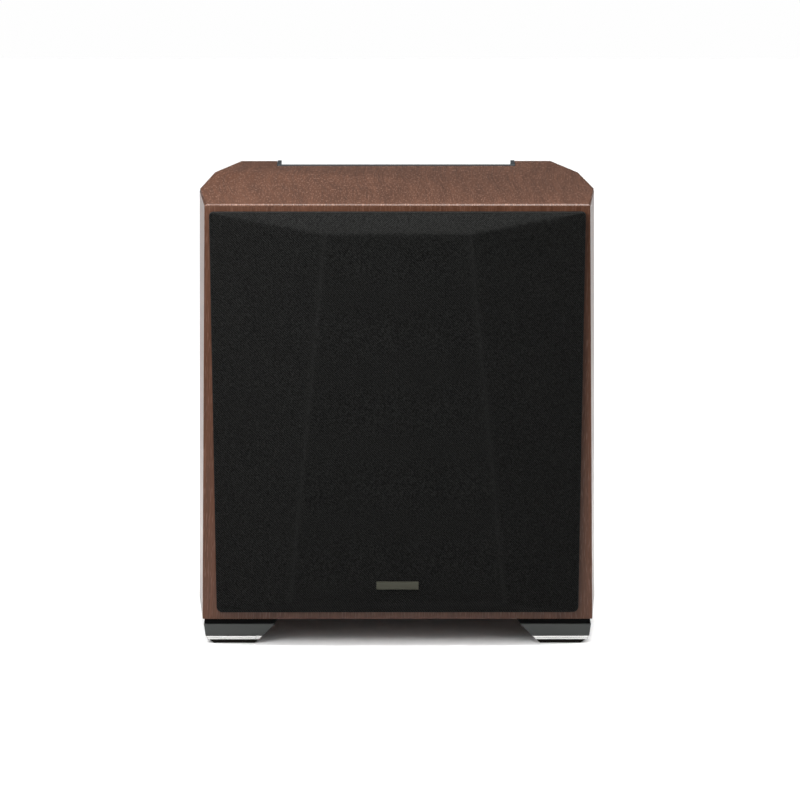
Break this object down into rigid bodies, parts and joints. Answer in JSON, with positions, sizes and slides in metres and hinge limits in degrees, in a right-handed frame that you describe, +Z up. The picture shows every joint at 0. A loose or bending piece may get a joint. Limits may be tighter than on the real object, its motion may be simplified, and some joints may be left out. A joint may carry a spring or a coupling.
{
  "type": "powered subwoofer",
  "caption": "Powered subwoofer: veneered box with faceted sides, faceted cloth grille over one front driver, sloped metal feet and an amplifier in a channel at the back.",
  "frame": {"origin": "on the floor under the middle of the object's box", "axes": "+X to the right of someone facing the grille, +Y towards the back, +Z up"},
  "size_m": [0.4676, 0.522, 0.5168],
  "materials": {
    "walnut_veneer": "satin lacquered dark walnut veneer",
    "bare_board": "unfinished fibreboard",
    "grille_fabric": "black twill-woven stretch cloth",
    "grille_plastic": "black moulded, perforated",
    "badge_metal": "dark anodised, satin",
    "magnet_plate": "nickel plated",
    "cast_metal": "black powder coated casting",
    "ferrite": "matt sintered",
    "plain_steel": "zinc plated",
    "cone_metal": "black anodised",
    "soft_rubber": "matt black moulded",
    "resin_cloth": "resin-stiffened weave",
    "copper_wire": "enamelled copper winding",
    "slate_metal": "slate powder coat",
    "black_plastic": "black moulded",
    "circuit_green": "green solder mask",
    "foot_grey": "dark grey satin paint",
    "bright_trim": "bright polished edge"
  },
  "bodies": {
    "cabinet": {"top_panel": "walnut_veneer", "bottom_panel": "walnut_veneer", "side_panel_left": "walnut_veneer", "side_panel_right": "walnut_veneer", "rear_post_left": "walnut_veneer", "rear_post_right": "walnut_veneer", "front_baffle": "walnut_veneer", "rear_board": "bare_board", "window_brace": "bare_board", "basket": "cast_metal", "ring_magnet": "ferrite", "top_plate": "plain_steel", "back_plate": "plain_steel", "driver_screw_1": "plain_steel", "driver_screw_2": "plain_steel", "driver_screw_3": "plain_steel", "driver_screw_4": "plain_steel", "driver_screw_5": "plain_steel", "driver_screw_6": "plain_steel", "surround": "soft_rubber", "foot_pad_front_left": "soft_rubber", "foot_pad_front_right": "soft_rubber", "foot_pad_rear_left": "soft_rubber", "foot_pad_rear_right": "soft_rubber", "driver_lead": "soft_rubber", "spider": "resin_cloth", "power_transformer": "copper_wire", "amp_chassis": "slate_metal", "heat_sink": "slate_metal", "connection_plate": "slate_metal", "mains_inlet": "black_plastic", "balanced_socket": "black_plastic", "line_inputs": "black_plastic", "terminal_block": "black_plastic", "capacitor": "black_plastic", "amp_board": "circuit_green", "foot_bracket_front_left": "foot_grey", "foot_bracket_front_right": "foot_grey", "foot_bracket_rear_left": "foot_grey", "foot_bracket_rear_right": "foot_grey", "foot_trim_front_left": "bright_trim", "foot_trim_front_right": "bright_trim", "foot_trim_rear_left": "bright_trim", "foot_trim_rear_right": "bright_trim"},
    "grille": {"grille_frame": "grille_plastic", "grille_cloth": "grille_fabric", "badge": "badge_metal", "grille_magnet_lower_left": "magnet_plate", "grille_magnet_lower_right": "magnet_plate", "grille_magnet_upper_left": "magnet_plate", "grille_magnet_upper_right": "magnet_plate"},
    "cone_unit": {"cone": "cone_metal", "dust_cap": "cone_metal", "voice_coil": "copper_wire"},
    "level_control": {"level_knob": "black_plastic"},
    "crossover_control": {"crossover_knob": "black_plastic"},
    "rocker": {"power_rocker": "black_plastic"},
    "mode_slider": {"mode_switch": "black_plastic"},
    "latch": {"balanced_latch": "plain_steel"},
    "fuse_carrier": {"fuse_drawer": "black_plastic"}
  },
  "joints": [
    {"name": "grille_pull", "type": "slide", "parent": "cabinet", "child": "grille", "axis": [0, -1, 0], "range_m": [0, 0.12]},
    {"name": "cone_travel", "type": "slide", "parent": "cabinet", "child": "cone_unit", "axis": [0, -1, 0], "range_m": [-0.012, 0.012], "stiffness_N_per_m": 3000, "deforming": ["surround", "spider"]},
    {"name": "level_turn", "type": "hinge", "parent": "cabinet", "child": "level_control", "pos_m": [0.008, 0.2096, 0.222], "axis": [0, 1, 0], "range_deg": [-150, 150]},
    {"name": "crossover_turn", "type": "hinge", "parent": "cabinet", "child": "crossover_control", "pos_m": [-0.027, 0.2096, 0.222], "axis": [0, 1, 0], "range_deg": [-150, 150]},
    {"name": "rocker_tilt", "type": "hinge", "parent": "cabinet", "child": "rocker", "pos_m": [-0.06, 0.2101, 0.173], "axis": [1, 0, 0], "range_deg": [-16, 0]},
    {"name": "mode_slide", "type": "slide", "parent": "cabinet", "child": "mode_slider", "axis": [1, 0, 0], "range_m": [0, 0.006]},
    {"name": "latch_press", "type": "slide", "parent": "cabinet", "child": "latch", "axis": [0, -1, 0], "range_m": [0, 0.0022], "stiffness_N_per_m": 600},
    {"name": "fuse_drawer_pull", "type": "slide", "parent": "cabinet", "child": "fuse_carrier", "axis": [0, 1, 0], "range_m": [0, 0.03]}
  ]
}
